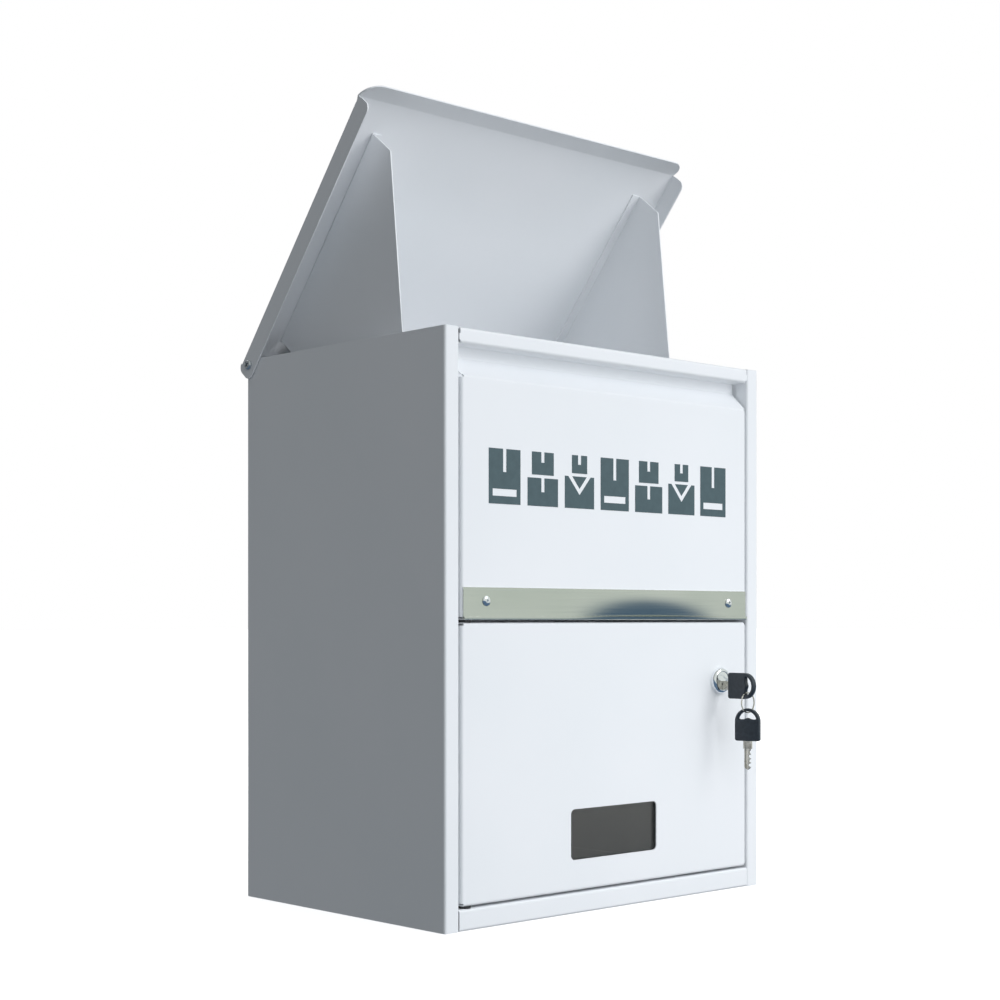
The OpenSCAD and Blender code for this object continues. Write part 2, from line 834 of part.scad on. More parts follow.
module key_blade_solid() {
    half = blade_w / 2;
    first_cut = -shoulder_l - 2.8;
    pitch = 3.7;
    shoulder_solid();
    difference() {
        along_x(-blade_t / 2, blade_t / 2) difference() {
            polygon([
                [-half, -shoulder_l + 1],
                [half, -shoulder_l + 1],
                [half, -blade_l + 2],
                [0.4, -blade_l],
                [-0.4, -blade_l],
                [-half, -blade_l + 2]]);
            for (i = [0:len(blade_cuts) - 1]) translate([-half, first_cut - i * pitch]) polygon([
                [-0.1, 1.8],
                [blade_cuts[i], 0.8],
                [blade_cuts[i], -0.8],
                [-0.1, -1.8]]);
        }
        translate([0, 0, -blade_l - 1]) linear_extrude(blade_l + 1 - shoulder_l)
            for (side = [-1, 1]) polygon([
                [side * (blade_t / 2 + 0.1), -0.1],
                [side * (blade_t / 2 + 0.1), 1.9],
                [side * 0.35, 0.9]]);
    }
}

module at_key() {
    at_lock() translate([0, -key_drop, key_reach]) children();
}

module at_spare_key() {
    translate([lock_x, front_y - ring_p, lock_z + spare_pivot + spare_gap - head_flat_l - slot_r])
        rotate([0, 0, spare_turn]) children();
}

module key_blade() {
    color(stainless) at_key() key_blade_solid();
}

module key_head() {
    color(key_plastic) at_key() key_head_solid();
}

module key_ring() {
    color(polished) at_lock() translate([0, ring_centre, ring_p])
        rotate_extrude() translate([ring_mid_r, 0]) circle(r = ring_wire / 2);
}

module spare_key_blade() {
    color(stainless) at_spare_key() key_blade_solid();
}

module spare_key_head() {
    color(key_plastic) at_spare_key() key_head_solid();
}

left_side_panel();
right_side_panel();
back_panel();
floor_panel();
top_rail();
upper_front_panel();
drip_strip();
strip_rivets();
pictogram_decal();
lid_panel();
hopper_left_wing();
hopper_right_wing();
hopper_plate();
hopper_rivets();
lid_pivot_screws();
lid_pivot_washers();
lid_pivot_nuts();
door_panel();
window_gasket();
window_pane();
door_hinge_pins();
door_hinge_washers();
lock_body();
lock_washer();
lock_nut();
lock_plug();
lock_cam();
cam_screw();
key_blade();
key_head();
key_ring();
spare_key_blade();
spare_key_head();
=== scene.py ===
# %% [markdown]
# # A parcel drop box, finished and lit
# The box is folded from thin steel sheet and powder coated white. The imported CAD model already
# holds every sheet, pin and key at its real size, so it is loaded first as a fixed frame. Each
# step below then gives it what a drawing leaves out: soft edges, paint, metal and small fixings.

# %% Load the frame
import json
import math

import bmesh
import bpy
from mathutils import Matrix, Vector


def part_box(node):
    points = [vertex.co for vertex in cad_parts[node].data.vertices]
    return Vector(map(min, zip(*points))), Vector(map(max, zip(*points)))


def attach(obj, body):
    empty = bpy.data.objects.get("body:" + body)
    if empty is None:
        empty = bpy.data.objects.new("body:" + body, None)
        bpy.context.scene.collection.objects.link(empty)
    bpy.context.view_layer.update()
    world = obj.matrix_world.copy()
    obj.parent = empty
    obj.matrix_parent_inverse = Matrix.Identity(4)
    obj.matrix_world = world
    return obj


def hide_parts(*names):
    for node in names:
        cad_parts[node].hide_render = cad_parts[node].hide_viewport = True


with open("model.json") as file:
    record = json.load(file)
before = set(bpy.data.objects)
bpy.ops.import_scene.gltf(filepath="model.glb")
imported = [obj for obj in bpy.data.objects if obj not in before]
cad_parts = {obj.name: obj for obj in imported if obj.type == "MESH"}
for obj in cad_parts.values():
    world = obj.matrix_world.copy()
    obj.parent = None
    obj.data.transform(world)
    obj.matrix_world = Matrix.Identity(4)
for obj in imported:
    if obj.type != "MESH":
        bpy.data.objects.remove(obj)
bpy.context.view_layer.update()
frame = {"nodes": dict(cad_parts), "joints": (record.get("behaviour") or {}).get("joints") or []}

MM = 0.001

# %% [markdown]
# ## Where things are
# The lid stands open on two pivots, and most of its small pieces are easiest to describe with the
# lid lying level. One matrix lifts them from that level drawing to where the lid stands. The
# lock gets a frame of its own too: its first axis runs to the right, its second up, and its
# third out of the door.

# %% Frames for the lid and the lock
LID_OPEN = 50.8         # degrees above level


def joint(name):
    """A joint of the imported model, by name."""
    return next(j for j in frame["joints"] if j["name"] == name)


def turn_about(axis, degrees):
    """A rotation matrix about the X, Y or Z axis."""
    return Matrix.Rotation(math.radians(degrees), 4, axis)


pivot = Vector(joint("lid_hinge")["pos_m"])
on_lid = Matrix.Translation(pivot) @ turn_about("X", -LID_OPEN)
lock_at = Vector(joint("lock_turn")["pos_m"])
door_face_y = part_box("door_panel")[0].y
on_lock = Matrix.Translation((lock_at.x, door_face_y, lock_at.z)) @ turn_about("X", 90)
print("lid pivot in mm:", [round(c / MM, 1) for c in pivot])

# %% [markdown]
# ## The camera
# A low camera looks level towards the box's front left corner. Tilting it up would make the
# upright edges lean together, so the lens is shifted up instead, which keeps them upright and
# still takes in the whole box.

# %% Camera
CAMERA_TURN = -43.04    # degrees about the vertical, from looking straight at the front
camera_data = bpy.data.cameras.new("camera")
camera_data.lens = 64.43
camera_data.sensor_width = 36
camera_data.shift_y = 0.1187
camera = bpy.data.objects.new("camera", camera_data)
camera.location = (-1.0528, -1.1178, 0.2329)
camera.rotation_euler = (math.radians(90), 0, math.radians(CAMERA_TURN))
bpy.context.scene.collection.objects.link(camera)
bpy.context.scene.camera = camera
bpy.context.scene.view_settings.view_transform = "Standard"
print("camera distance in mm:", round(camera.location.length / MM))

# %% [markdown]
# ## Studio light
# White sheet metal is all about how much light each fold gets. A lamp could be a point or a sun,
# but a large soft area lamp gives a product its long, gentle shadows. A high softbox on the right
# models the front and gives the keys their soft shadow. A small one close in front lights the foot
# of the door, and is hidden from reflections so that it leaves no bright patch in the metal. A
# third one behind keeps the back readable. Most of the light comes from the room itself, which
# the next step makes.

# %% Softboxes
def softbox(name, azimuth, elevation, distance, size, power, aim, mirrored=True):
    """A rectangular area light that faces the point aim from a direction given in degrees.

    With mirrored off, it doesn't show in reflections.
    """
    lamp = bpy.data.lights.new(name, "AREA")
    lamp.shape = "RECTANGLE"
    lamp.size, lamp.size_y = size
    lamp.energy = power
    a, e = math.radians(azimuth), math.radians(elevation)
    away = Vector((math.sin(a) * math.cos(e), -math.cos(a) * math.cos(e), math.sin(e)))
    lamp_object = bpy.data.objects.new(name, lamp)
    lamp_object.location = Vector(aim) + away * distance
    lamp_object.rotation_euler = away.to_track_quat("Z", "Y").to_euler()
    lamp_object.visible_camera = False
    lamp_object.visible_glossy = mirrored
    bpy.context.scene.collection.objects.link(lamp_object)
    print(name, "has", power, "W at", distance, "m")


BOX_MIDDLE = (0, 0, 0.25)
DOOR_FOOT = (0.03, -0.13, 0.06)
softbox("key_softbox", azimuth=28, elevation=32, distance=2.4, size=(0.9, 0.8), power=12, aim=BOX_MIDDLE)
softbox("low_softbox", azimuth=16, elevation=4, distance=0.7, size=(0.5, 0.3), power=0.95, aim=DOOR_FOOT,
        mirrored=False)
softbox("back_softbox", azimuth=155, elevation=42, distance=2.6, size=(1.4, 1.0), power=26, aim=BOX_MIDDLE)

# %% [markdown]
# ## Wiring shaders
# The room and every finish are shaders, which are trees of nodes. Most of their wiring is the same
# few moves: feed a socket, do a sum, stretch a pattern to a range, or mix two colours. One helper
# for each keeps the steps below short.

# %% Shader helpers
def feed(tree, socket, value):
    """Sets a socket to a number or a colour, or links another socket to it."""
    if isinstance(value, bpy.types.NodeSocket):
        tree.links.new(value, socket)
    elif isinstance(value, tuple):
        socket.default_value = (*value, 1)
    else:
        socket.default_value = value


def calculate(tree, operation, *values):
    """A Math node on sockets or numbers."""
    result = tree.nodes.new("ShaderNodeMath")
    result.operation = operation
    for socket, value in zip(result.inputs, values):
        feed(tree, socket, value)
    return result.outputs[0]


def spread(tree, factor, low, high, start=0.3, end=0.7, interpolation="LINEAR"):
    """Stretches a pattern, mostly between start and end, to values from low to high."""
    ramp = tree.nodes.new("ShaderNodeMapRange")
    ramp.interpolation_type = interpolation
    ramp.inputs["From Min"].default_value = start
    ramp.inputs["From Max"].default_value = end
    ramp.inputs["To Min"].default_value = low
    ramp.inputs["To Max"].default_value = high
    tree.links.new(factor, ramp.inputs["Value"])
    return ramp.outputs["Result"]


def colour_between(tree, factor, first, second):
    """Mixes two colours or sockets by a pattern."""
    mix = tree.nodes.new("ShaderNodeMix")
    mix.data_type = "RGBA"
    tree.links.new(factor, mix.inputs["Factor"])
    feed(tree, mix.inputs[6], first)
    feed(tree, mix.inputs[7], second)
    return mix.outputs[2]


# %% [markdown]
# ## The room
# The room could be modelled as walls and a floor, but a world shader gives the same light with no
# geometry, and can show each kind of ray something else. To the camera it is plain white paper.
# To diffuse light it is dim, with one wide glow in front, which leaves the box's left side in calm
# grey shade. To reflections it is a wall over a dark blue floor, light in front and dim behind,
# which is what gives polished metal something to show.

# %% Room colours
ROOM_DIM = (0.137, 0.146, 0.153)
ROOM_GLOW = (1.26, 1.31, 1.38)
GLOW_FROM = (0.07, -1, 0.4)
WALL = (0.72, 0.76, 0.73)
DIM_WALL = (0.3, 0.31, 0.31)
WALL_LIT_FROM = (0.5, -0.86, 0)
DARK_FLOOR = (0.09, 0.15, 0.23)
UPWARD = (0, 0, 1)
WHITE = (1.0, 1.0, 1.0)

world = bpy.data.worlds.new("studio_room")
bpy.context.scene.world = world
world.use_nodes = True
room = world.node_tree
room.nodes.clear()
room_rays = room.nodes.new("ShaderNodeLightPath")
print("room glow over room dim:", round(ROOM_GLOW[1] / ROOM_DIM[1], 1))


# %% Room gradients and choices
def room_gradient(towards, start, end, first, second):
    """Turns from one colour to another, or to a socket, as the direction nears towards."""
    direction = room.nodes.new("ShaderNodeTexCoord")
    nearness = room.nodes.new("ShaderNodeVectorMath")
    nearness.operation = "DOT_PRODUCT"
    nearness.inputs[1].default_value = Vector(towards).normalized()
    room.links.new(direction.outputs["Generated"], nearness.inputs[0])
    blend = spread(room, nearness.outputs["Value"], 0, 1, start, end, "SMOOTHSTEP")
    return colour_between(room, blend, first, second)


def room_background(colour):
    """A background of a colour, or of a socket."""
    background = room.nodes.new("ShaderNodeBackground")
    feed(room, background.inputs["Color"], colour)
    return background.outputs[0]


def room_choice(ray, otherwise, seen):
    """Shows one background to a kind of ray, and another to the rest."""
    mix = room.nodes.new("ShaderNodeMixShader")
    room.links.new(room_rays.outputs[ray], mix.inputs["Fac"])
    room.links.new(otherwise, mix.inputs[1])
    room.links.new(seen, mix.inputs[2])
    return mix.outputs[0]


# %% Room
diffuse_room = room_gradient(GLOW_FROM, start=0.4, end=1.0, first=ROOM_DIM, second=ROOM_GLOW)
walls = room_gradient(WALL_LIT_FROM, start=-0.4, end=0.5, first=DIM_WALL, second=WALL)
mirrored_room = room_gradient(UPWARD, start=-0.24, end=-0.06, first=DARK_FLOOR, second=walls)
lit = room_choice("Is Glossy Ray", room_background(diffuse_room), room_background(mirrored_room))
whole_room = room_choice("Is Camera Ray", lit, room_background(WHITE))
room_out = room.nodes.new("ShaderNodeOutputWorld")
room.links.new(whole_room, room_out.inputs["Surface"])
print("room nodes:", len(room.nodes))

# %% [markdown]
# ## Patterns in a finish
# No real finish is one flat colour. These helpers add a procedural pattern to a Principled
# shader: clouds that shift its colour, a grain that changes its roughness, and a relief that
# tilts its surface. An image could do the same, but it would need unwrapping and would blur close
# up. Patterns read Object coordinates. Every piece sits at the origin, so a scale is simply how
# many features there are in a metre.

# %% Material helpers
def base_finish(name, colour, roughness, metallic=0.0, **sockets):
    """A new material with a Principled shader, and its node tree and shader."""
    material = bpy.data.materials.new(name)
    material.use_nodes = True
    tree = material.node_tree
    surface = tree.nodes["Principled BSDF"]
    surface.inputs["Base Color"].default_value = (*colour, 1)
    surface.inputs["Roughness"].default_value = roughness
    surface.inputs["Metallic"].default_value = metallic
    for socket, value in sockets.items():
        surface.inputs[socket.replace("_", " ")].default_value = value
    return material, tree, surface


def noise(tree, scale, detail=2.0, stretch=(1, 1, 1)):
    """A noise pattern with so many features in a metre along each axis."""
    where = tree.nodes.new("ShaderNodeTexCoord")
    mapping = tree.nodes.new("ShaderNodeMapping")
    mapping.inputs["Scale"].default_value = stretch
    pattern = tree.nodes.new("ShaderNodeTexNoise")
    pattern.inputs["Scale"].default_value = scale
    pattern.inputs["Detail"].default_value = detail
    tree.links.new(where.outputs["Object"], mapping.inputs["Vector"])
    tree.links.new(mapping.outputs[0], pattern.inputs["Vector"])
    return pattern.outputs["Fac"]


def vary_roughness(tree, surface, pattern, smooth, rough):
    """Lets a pattern shift a shader's roughness between two values."""
    tree.links.new(spread(tree, pattern, smooth, rough), surface.inputs["Roughness"])


def vary_colour(tree, surface, pattern, dark, light):
    """Lets a pattern shift a shader's colour between two colours."""
    tint = colour_between(tree, spread(tree, pattern, 0, 1), dark, light)
    tree.links.new(tint, surface.inputs["Base Color"])


def relief(tree, surface, *layers):
    """Chains bumps onto a shader. Each layer is a pattern, a strength and a depth in mm."""
    normal = None
    for factor, strength, depth in layers:
        bump = tree.nodes.new("ShaderNodeBump")
        bump.inputs["Strength"].default_value = strength
        bump.inputs["Distance"].default_value = depth * MM
        tree.links.new(factor, bump.inputs["Height"])
        if normal:
            tree.links.new(normal, bump.inputs["Normal"])
        normal = bump.outputs["Normal"]
    tree.links.new(normal, surface.inputs["Normal"])


# %% [markdown]
# ## Powder coat
# The white coat is baked on as a dry powder, so it flows into a faint orange peel with about
# three bumps to a centimetre, under a finer grain. Modelling those bumps would take millions of
# faces, so the shader tilts the light instead. Slow clouds shift the tint a little, and a few
# specks of dust are caught in the coat.

# %% Powder coat
def make_powder_coat():
    """White paint with clouds in its tint, dust, and orange peel."""
    material, tree, surface = base_finish("powder_coat", (0.87, 0.89, 0.91), 0.42)
    clouds = noise(tree, 7, 3)
    tint = colour_between(tree, spread(tree, clouds, 0, 1), (0.855, 0.88, 0.9), (0.885, 0.9, 0.92))
    where = tree.nodes.new("ShaderNodeTexCoord")
    dust = tree.nodes.new("ShaderNodeTexVoronoi")
    dust.inputs["Scale"].default_value = 11
    tree.links.new(where.outputs["Object"], dust.inputs["Vector"])
    speck = spread(tree, dust.outputs["Distance"], 0.75, 0, 0.004, 0.008)
    tree.links.new(colour_between(tree, speck, tint, (0.2, 0.19, 0.18)), surface.inputs["Base Color"])
    vary_roughness(tree, surface, noise(tree, 60), 0.36, 0.48)
    relief(tree, surface, (noise(tree, 330, 1), 0.25, 0.05), (noise(tree, 1500, 2), 0.12, 0.02))
    return material


powder_coat = make_powder_coat()
print("finish:", powder_coat.name)

# %% [markdown]
# ## Stainless strip
# The drip strip is rolled stainless steel. Rolling leaves fine lines along its length, and thin
# sheet is never quite flat: this one bows a little between its rivets, which leans its low part
# down, so that it mirrors the dark floor in a soft arch. The CAD strip is flat. A bump bends what
# it reflects and leaves its shape alone, and a slow wave does the same for the rest of it.

# %% The bow in the strip
BOW_X = 42              # the bow's middle, to the right of the box's
BOW_HALF = 120          # how far it reaches to either side
BOW_TOP = 1             # how far below the strip's upper edge it fades out
BOW_DEPTH = 4.5
strip_low, strip_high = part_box("drip_strip")
print("strip height in mm:", round((strip_high.z - strip_low.z) / MM, 1))


def sheet_bow(tree, centre_x, half_x, low_z, high_z):
    """A swelling that leans the sheet's low part down, and fades out above and to both sides."""
    where = tree.nodes.new("ShaderNodeTexCoord")
    split = tree.nodes.new("ShaderNodeSeparateXYZ")
    tree.links.new(where.outputs["Object"], split.inputs[0])
    aside = calculate(tree, "ABSOLUTE", calculate(tree, "SUBTRACT", split.outputs["X"], centre_x))
    across = spread(tree, aside, 1, 0, 0, half_x, "SMOOTHSTEP")
    drop = spread(tree, split.outputs["Z"], 1, 0, low_z, high_z)
    upward = calculate(tree, "SUBTRACT", 1, calculate(tree, "MULTIPLY", drop, drop))
    return calculate(tree, "MULTIPLY", across, upward)


# %% Stainless steel
def make_stainless():
    """Bare steel with rolling lines, cloudy tint, a bow and a slow wave."""
    material, tree, surface = base_finish("rolled_stainless", (0.62, 0.65, 0.59), 0.2, 1.0)
    lines = noise(tree, 900, 3, (0.012, 1, 1))
    vary_colour(tree, surface, noise(tree, 9, 2, (1, 1, 2)), (0.58, 0.62, 0.56), (0.68, 0.7, 0.65))
    vary_roughness(tree, surface, lines, 0.15, 0.25)
    bow = sheet_bow(tree, BOW_X * MM, BOW_HALF * MM, strip_low.z, strip_high.z - BOW_TOP * MM)
    wave = noise(tree, 8, 0, (1, 1, 3))
    relief(tree, surface, (bow, 1.0, BOW_DEPTH), (wave, 1.0, 0.2), (lines, 0.1, 0.01))
    return material


rolled_stainless = make_stainless()
print("finish:", rolled_stainless.name)

# %% [markdown]
# ## Plated metals
# The lock's face is bright chrome, its hidden nut and the fixings are dull zinc, and the keys are
# nickel silver. They differ in tint and in how sharp their reflections are, so one function makes
# all three. A slow wave bends what they reflect, most of all in the chrome, and a fine grain
# blurs it a little.

# %% Chrome, zinc and key metal
def make_plating(name, dark, light, smooth, rough, grain, wave):
    """A metal whose tint and gloss drift, with a wave in mm and a grain in its surface."""
    material, tree, surface = base_finish(name, light, smooth, 1.0)
    vary_colour(tree, surface, noise(tree, 120, 3), dark, light)
    vary_roughness(tree, surface, noise(tree, 400, 3), smooth, rough)
    relief(tree, surface, (noise(tree, 130, 1), 1.0, wave), (noise(tree, 1800, 2), grain, 0.02))
    return material


polished_chrome = make_plating("polished_chrome", dark=(0.84, 0.87, 0.9), light=(0.93, 0.94, 0.95),
                               smooth=0.05, rough=0.12, grain=0.05, wave=1.3)
zinc_plate = make_plating("zinc_plate", dark=(0.5, 0.53, 0.55), light=(0.66, 0.68, 0.7),
                          smooth=0.24, rough=0.4, grain=0.15, wave=0.1)
nickel_silver = make_plating("nickel_silver", dark=(0.52, 0.5, 0.45), light=(0.7, 0.67, 0.61),
                             smooth=0.14, rough=0.26, grain=0.06, wave=0.25)
print("finishes:", polished_chrome.name, zinc_plate.name, nickel_silver.name)

# %% [markdown]
# ## Plastics, vinyl and foam
# The key heads are moulded in a dark plastic with a fine spark-eroded grain. The pictograms are
# cut vinyl film, the gasket is closed-cell foam, and the washers are nylon. All four are a dark
# colour over a grain, and what tells them apart is how coarse and how deep the grain is.

# %% Plastics
def make_plastic(name, dark, light, smooth, rough, grain_scale, grain, depth):
    """A plastic with so many grains in a metre, of a strength and a depth in mm."""
    material, tree, surface = base_finish(name, light, rough)
    vary_colour(tree, surface, noise(tree, grain_scale / 6, 3), dark, light)
    vary_roughness(tree, surface, noise(tree, grain_scale / 2), smooth, rough)
    relief(tree, surface, (noise(tree, grain_scale, 2), grain, depth))
    return material


key_plastic = make_plastic("key_plastic", dark=(0.016, 0.024, 0.034), light=(0.026, 0.038, 0.052),
                           smooth=0.34, rough=0.5, grain_scale=2200, grain=0.5, depth=0.05)
cut_vinyl = make_plastic("cut_vinyl", dark=(0.056, 0.098, 0.112), light=(0.066, 0.114, 0.13),
                         smooth=0.42, rough=0.55, grain_scale=900, grain=0.1, depth=0.02)
black_nylon = make_plastic("black_nylon", dark=(0.02, 0.02, 0.022), light=(0.04, 0.04, 0.043),
                           smooth=0.4, rough=0.55, grain_scale=1500, grain=0.3, depth=0.03)
closed_foam = make_plastic("closed_foam", dark=(0.012, 0.012, 0.013), light=(0.03, 0.03, 0.032),
                           smooth=0.85, rough=0.95, grain_scale=1800, grain=0.9, depth=0.2)
print("finishes:", key_plastic.name, cut_vinyl.name, black_nylon.name, closed_foam.name)

# %% [markdown]
# ## The window's pane
# The pane is acrylic: light goes through it and loses a little each way. Its grey tint is painted shade,
# which darkens the inside of the box seen through it. Full transmission with a grey base colour does
# that, and a faint change in gloss stands for the wipe marks on it.

# %% Acrylic tinted with painted shade
def make_acrylic():
    """Clear plastic with a grey tint that is painted shade for the box's inside."""
    # The grey base colour is painted shade: it dims the view into the box.
    material, tree, surface = base_finish("smoked_acrylic", (0.6, 0.59, 0.57), 0.03, IOR=1.49,
                                          Transmission_Weight=1.0)
    vary_roughness(tree, surface, noise(tree, 90, 3), 0.015, 0.05)
    return material


smoked_acrylic = make_acrylic()
print("finish:", smoked_acrylic.name)

# %% [markdown]
# ## Soft edges on the folded sheets
# A cut sheet edge is never perfectly sharp: deburring and paint round it, and that rounding is
# what catches a thin bright line of light. The CAD nodes keep their meshes, so live modifiers do
# the work on top: Weld joins the loose triangles, Decimate melts flat areas into single faces,
# Bevel rounds every sharp edge, a small node tree shades the bends smoothly, and Weighted Normal
# keeps the flat faces looking flat beside their rounded edges.

# %% A node tree that shades bends smooth and keeps corners sharp
SHARP = math.radians(38)


def make_bend_shading():
    """A node tree that shades everything smooth but the edges steeper than Sharp Angle."""
    tree = bpy.data.node_groups.new("smooth_bends", "GeometryNodeTree")
    tree.interface.new_socket(name="Geometry", in_out="INPUT", socket_type="NodeSocketGeometry")
    sharp = tree.interface.new_socket(name="Sharp Angle", in_out="INPUT", socket_type="NodeSocketFloat")
    sharp.default_value = SHARP
    tree.interface.new_socket(name="Geometry", in_out="OUTPUT", socket_type="NodeSocketGeometry")
    start = tree.nodes.new("NodeGroupInput")
    end = tree.nodes.new("NodeGroupOutput")
    forget = tree.nodes.new("GeometryNodeRemoveAttribute")
    forget.inputs["Name"].default_value = "custom_normal"
    smooth = tree.nodes.new("GeometryNodeSetShadeSmooth")
    corners = tree.nodes.new("GeometryNodeSetShadeSmooth")
    corners.domain = "EDGE"
    corners.inputs["Shade Smooth"].default_value = False
    angle = tree.nodes.new("GeometryNodeInputMeshEdgeAngle")
    steep = tree.nodes.new("FunctionNodeCompare")
    tree.links.new(start.outputs[0], forget.inputs[0])
    tree.links.new(forget.outputs[0], smooth.inputs[0])
    tree.links.new(smooth.outputs[0], corners.inputs[0])
    tree.links.new(angle.outputs["Unsigned Angle"], steep.inputs[0])
    tree.links.new(start.outputs["Sharp Angle"], steep.inputs[1])
    tree.links.new(steep.outputs[0], corners.inputs["Selection"])
    tree.links.new(corners.outputs[0], end.inputs[0])
    return tree


smooth_bends = make_bend_shading()


def soften(piece, width):
    """Rounds every sharp edge of a CAD node to a width in mm, with live modifiers."""
    weld = piece.modifiers.new("join", "WELD")
    weld.merge_threshold = 0.005 * MM
    melt = piece.modifiers.new("melt_flats", "DECIMATE")
    melt.decimate_type = "DISSOLVE"
    melt.angle_limit = math.radians(0.5)
    round_off = piece.modifiers.new("round_edges", "BEVEL")
    round_off.width = width * MM
    round_off.segments = 2
    round_off.limit_method = "ANGLE"
    round_off.angle_limit = SHARP
    shade = piece.modifiers.new("shade", "NODES")
    shade.node_group = smooth_bends
    even = piece.modifiers.new("even_normals", "WEIGHTED_NORMAL")
    even.weight = 100
    even.keep_sharp = True


# %% [markdown]
# Every CAD node now gets its finish and its edge radius. Painted sheet takes the widest radius,
# because the coat builds up on an edge, and small metal parts take a crisp one.

# %% Give each node its finish
PAINTED = ["left_side_panel", "right_side_panel", "back_panel", "floor_panel", "top_rail",
           "upper_front_panel", "lid_panel", "hopper_left_wing", "hopper_right_wing", "hopper_plate",
           "door_panel"]
FINISHES = [
    (powder_coat, 0.3, PAINTED),
    (rolled_stainless, 0.12, ["drip_strip"]),
    (zinc_plate, 0.12, ["lid_pivot_screws", "lid_pivot_nuts", "door_hinge_pins", "lock_washer",
                        "lock_nut", "lock_cam", "cam_screw"]),
    (polished_chrome, 0.12, ["lock_plug"]),
    (nickel_silver, 0.15, ["key_blade", "spare_key_blade"]),
    (cut_vinyl, 0.04, ["pictogram_decal"]),
    (black_nylon, 0.08, ["lid_pivot_washers", "door_hinge_washers"]),
    (closed_foam, 0.1, ["window_gasket"]),
    # The window pane's grey tint is painted shade for the box's inside.
    (smoked_acrylic, 0.15, ["window_pane"]),
]
for material, edge, names in FINISHES:
    for name in names:
        piece = frame["nodes"][name]
        piece.data.materials.clear()
        piece.data.materials.append(material)
        soften(piece, edge)
    print(material.name, "on", len(names), "nodes")

# %% [markdown]
# ## Turned parts
# Rivets, weld marks and the lock's case are all round, so each is a profile spun about an axis.
# The profile is a short list of radius and height pairs in millimetres. Where it starts and ends
# on the axis the two tips close as fans, and otherwise it closes on itself.

# %% Spin a profile
def turned(name, profile, steps=48):
    """A closed mesh object: a (radius, height) profile in mm, spun about its Z axis."""
    shape = bmesh.new()
    rings = []
    for radius, height in profile:
        if radius == 0:
            rings.append([shape.verts.new((0, 0, height * MM))])
            continue
        rings.append([shape.verts.new((radius * MM * math.cos(2 * math.pi * i / steps),
                                       radius * MM * math.sin(2 * math.pi * i / steps),
                                       height * MM)) for i in range(steps)])
    pairs = list(zip(rings, rings[1:]))
    if profile[0][0] > 0:
        pairs.append((rings[-1], rings[0]))
    for low, high in pairs:
        for i in range(steps):
            j = (i + 1) % steps
            corners = [low[i % len(low)], low[j % len(low)], high[j % len(high)], high[i % len(high)]]
            shape.faces.new(list(dict.fromkeys(corners)))
    bmesh.ops.recalc_face_normals(shape, faces=shape.faces)
    mesh = bpy.data.meshes.new(name)
    shape.to_mesh(mesh)
    shape.free()
    mesh.shade_smooth()
    mesh.set_sharp_from_angle(angle=SHARP)
    return bpy.data.objects.new(name, mesh)


def arc(centre, radii, start, end, steps):
    """Points of an elliptical arc, by angles in degrees."""
    turn = [math.radians(start + (end - start) * i / steps) for i in range(steps + 1)]
    return [(centre[0] + radii[0] * math.cos(a), centre[1] + radii[1] * math.sin(a)) for a in turn]


# %% [markdown]
# ## Blind rivets
# A blind rivet is pulled up from one side. Its head is a shallow dome, and in the middle is the
# dark hole where the pulling pin broke off, with the broken end just below the rim. The whole
# rivet is round, so it is one spun profile, from the broken pin over the dome to the blind end.

# %% Rivet shape
def rivet(name, shank, head, grip):
    """One blind rivet, with its head's flat side at height 0. Radii and grip are in mm."""
    dome = head * 0.38
    hole = shank * 0.45
    blind = shank * 1.35
    bulge = shank * 0.75
    return turned(name, [
        (0, dome * 0.42), (hole * 0.7, dome * 0.4), (hole * 0.98, dome * 0.2), (hole, dome * 0.86),
        *arc((hole + 0.12, dome - 0.12), (0.12, 0.12), 180, 90, 3),
        *arc((hole + 0.3, 0.14), (head - hole - 0.3, dome - 0.14), 85, 0, 9),
        (head - 0.08, 0), (shank, 0), (shank, -grip),
        *arc((0, -grip - bulge), (blind, bulge), 60, -60, 6), (0, -grip - 2 * bulge)])


STRIP_RIVET_HEAD = 4
strip_rivet = rivet("strip_rivet_shape", shank=2, head=STRIP_RIVET_HEAD, grip=2)
hopper_rivet = rivet("hopper_rivet_shape", shank=1.6, head=3.2, grip=2.1)
print("rivet faces:", len(strip_rivet.data.polygons))

# %% [markdown]
# ## A row of anything
# Fixings come in rows. One Geometry Nodes tree sets copies of a part along a straight line, can
# repeat the row on the other side of the box, and gives all of it a finish. Its named inputs are
# the part, the count, the first place, the step and the turn.

# %% Node tree helpers
def new_tree(name, inputs):
    """An empty Geometry Nodes tree, with inputs given as (name, socket type) pairs."""
    tree = bpy.data.node_groups.new(name, "GeometryNodeTree")
    for label, kind in inputs:
        tree.interface.new_socket(name=label, in_out="INPUT", socket_type=kind)
    tree.interface.new_socket(name="Geometry", in_out="OUTPUT", socket_type="NodeSocketGeometry")
    return tree


def add(tree, kind, values=(), links=(), **settings):
    """Adds a node, with its settings, socket values, and links into its sockets."""
    made = tree.nodes.new(kind)
    for key, value in settings.items():
        setattr(made, key, value)
    for socket, value in dict(values).items():
        made.inputs[socket].default_value = value
    for socket, source in dict(links).items():
        tree.links.new(source, made.inputs[socket])
    return made


def grow(tree, name, **values):
    """Runs a tree with named inputs on an empty mesh, and returns the result as a plain mesh object."""
    piece = bpy.data.objects.new(name, bpy.data.meshes.new(name))
    bpy.context.scene.collection.objects.link(piece)
    modifier = piece.modifiers.new(tree.name, "NODES")
    modifier.node_group = tree
    for item in tree.interface.items_tree:
        if item.in_out == "INPUT":
            modifier[item.identifier] = values[item.name.lower().replace(" ", "_")]
    graph = bpy.context.evaluated_depsgraph_get()
    mesh = bpy.data.meshes.new_from_object(piece.evaluated_get(graph), depsgraph=graph)
    piece.modifiers.clear()
    piece.data = mesh
    mesh.name = name
    print(name, "has", len(mesh.polygons), "faces")
    return piece


